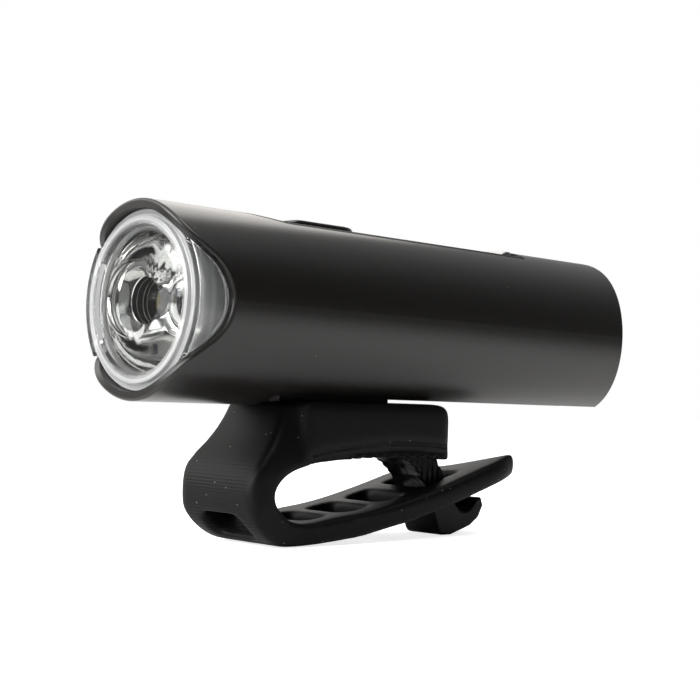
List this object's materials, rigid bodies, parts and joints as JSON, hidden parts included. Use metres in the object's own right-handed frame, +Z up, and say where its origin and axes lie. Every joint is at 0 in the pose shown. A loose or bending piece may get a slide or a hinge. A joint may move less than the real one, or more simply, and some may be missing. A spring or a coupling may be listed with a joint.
{
  "type": "bike headlight",
  "caption": "Tube-shaped rechargeable bicycle headlight with a clear lens, a top button and a port cover, sliding on a silicone strap mount that hooks round the handlebar.",
  "frame": {"origin": "on the surface that the mount stands on, under the middle of the tube's length and width", "axes": "+Y along the tube from the lens to the rear, +Z up, +X along the handlebar"},
  "size_m": [0.032, 0.1124, 0.056],
  "materials": {
    "anodised": "satin black anodising",
    "clear_plastic": "polished clear plastic",
    "silicone_clear": "clear silicone",
    "phosphor": "yellow phosphor on white ceramic",
    "board_white": "white solder mask",
    "bare_aluminium": "turned",
    "black_plastic": "fine moulded texture",
    "rubber_seal": "matt",
    "steel": "plated",
    "cell_wrap": "shrunk film",
    "board_green": "green solder mask",
    "component_black": "moulded",
    "plunger_plastic": "moulded",
    "glow_ring": "translucent",
    "gloss_black": "polished",
    "cover_rubber": "smooth smoky rubber",
    "key_nylon": "glass-filled nylon",
    "silicone": "satin silicone"
  },
  "bodies": {
    "mount": {"rail_key": "key_nylon", "rail_screws": "steel", "bracket_core": "black_plastic", "strap": "silicone", "strap_hook": "key_nylon"},
    "light": {"body_shell": "anodised", "front_lens": "clear_plastic", "collimator_lens": "clear_plastic", "led_dome": "silicone_clear", "led_package": "phosphor", "led_board": "board_white", "heat_sink": "bare_aluminium", "collimator_holder": "black_plastic", "battery_cradle": "black_plastic", "top_strip": "black_plastic", "rear_cap": "black_plastic", "lens_seal": "rubber_seal", "rear_seal": "rubber_seal", "front_pad": "rubber_seal", "rear_pad": "rubber_seal", "board_screws": "steel", "rear_screws": "steel", "usb_socket": "steel", "battery_tabs": "steel", "battery_cell": "cell_wrap", "driver_board": "board_green", "driver_coil": "component_black", "driver_chips": "component_black", "tactile_switch": "component_black", "usb_tongue": "component_black", "light_ring": "glow_ring"},
    "button": {"power_button": "gloss_black", "switch_plunger": "plunger_plastic"},
    "port_cover": {"usb_cover": "cover_rubber"}
  },
  "joints": [
    {"name": "light_slide", "type": "slide", "parent": "mount", "child": "light", "axis": [0, -1, 0], "range_m": [0, 0.058]},
    {"name": "button_press", "type": "slide", "parent": "light", "child": "button", "axis": [0, 0, -1], "range_m": [0, 0.0005], "stiffness_N_per_m": 3000, "springref_m": -0.0002},
    {"name": "cover_hinge", "type": "hinge", "parent": "light", "child": "port_cover", "pos_m": [0, 0.01735, 0.05345], "axis": [1, 0, 0], "range_deg": [0, 100]}
  ]
}
